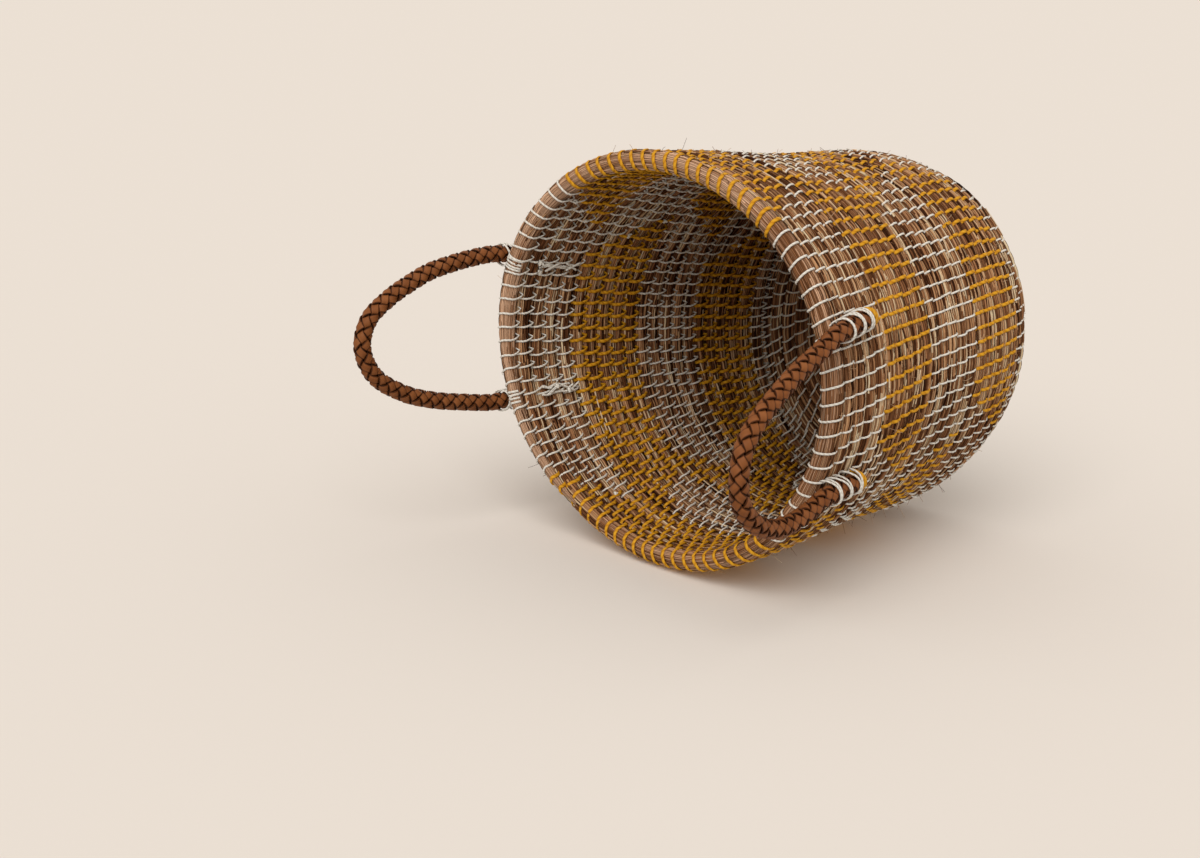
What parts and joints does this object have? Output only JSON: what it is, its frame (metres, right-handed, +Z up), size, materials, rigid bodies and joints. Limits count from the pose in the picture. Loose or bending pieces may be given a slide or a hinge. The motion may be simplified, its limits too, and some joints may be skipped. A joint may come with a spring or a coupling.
{
  "type": "coiled grass basket",
  "caption": "Round coiled grass basket with stitched rows, a rounded rim, a flat spiral base and two braided handles that swing beside the mouth.",
  "frame": {"origin": "middle of the flat underside, on the knot that the coil starts from", "axes": "+Z up through the mouth, near handle at +X, far handle at -X"},
  "size_m": [0.3246, 0.2668, 0.3801],
  "materials": {
    "grass": "dry brown grass stalks, matt, with paler straws",
    "braid": "chestnut brown braided strips, satin",
    "white_twine": "off-white twisted twine, matt",
    "yellow_strip": "golden yellow twisted strip, slightly glossy"
  },
  "bodies": {
    "basket": {"centre_knot": "grass", "base_coil": "grass", "wall_coil": "grass", "rim_coil": "grass", "near_handle_end_a": "braid", "near_handle_end_b": "braid", "near_handle_lashing_a": "white_twine", "near_handle_lashing_b": "white_twine", "near_handle_stitch_a": "yellow_strip", "near_handle_stitch_b": "yellow_strip", "far_handle_end_a": "braid", "far_handle_end_b": "braid", "far_handle_lashing_a": "white_twine", "far_handle_lashing_b": "white_twine", "far_handle_stitch_a": "yellow_strip", "far_handle_stitch_b": "yellow_strip"},
    "near_handle_loop": {"near_handle": "braid"},
    "far_handle_loop": {"far_handle": "braid"}
  },
  "joints": [
    {"name": "near_handle_swing", "type": "hinge", "parent": "basket", "child": "near_handle_loop", "pos_m": [0.1446, -0.0067, 0.2703], "axis": [0.0037, 1, 0], "range_deg": [-70, 100]},
    {"name": "far_handle_swing", "type": "hinge", "parent": "basket", "child": "far_handle_loop", "pos_m": [-0.14374, -0.00005, 0.2703], "axis": [0.0512, -0.9987, 0], "range_deg": [-70, 100]}
  ]
}
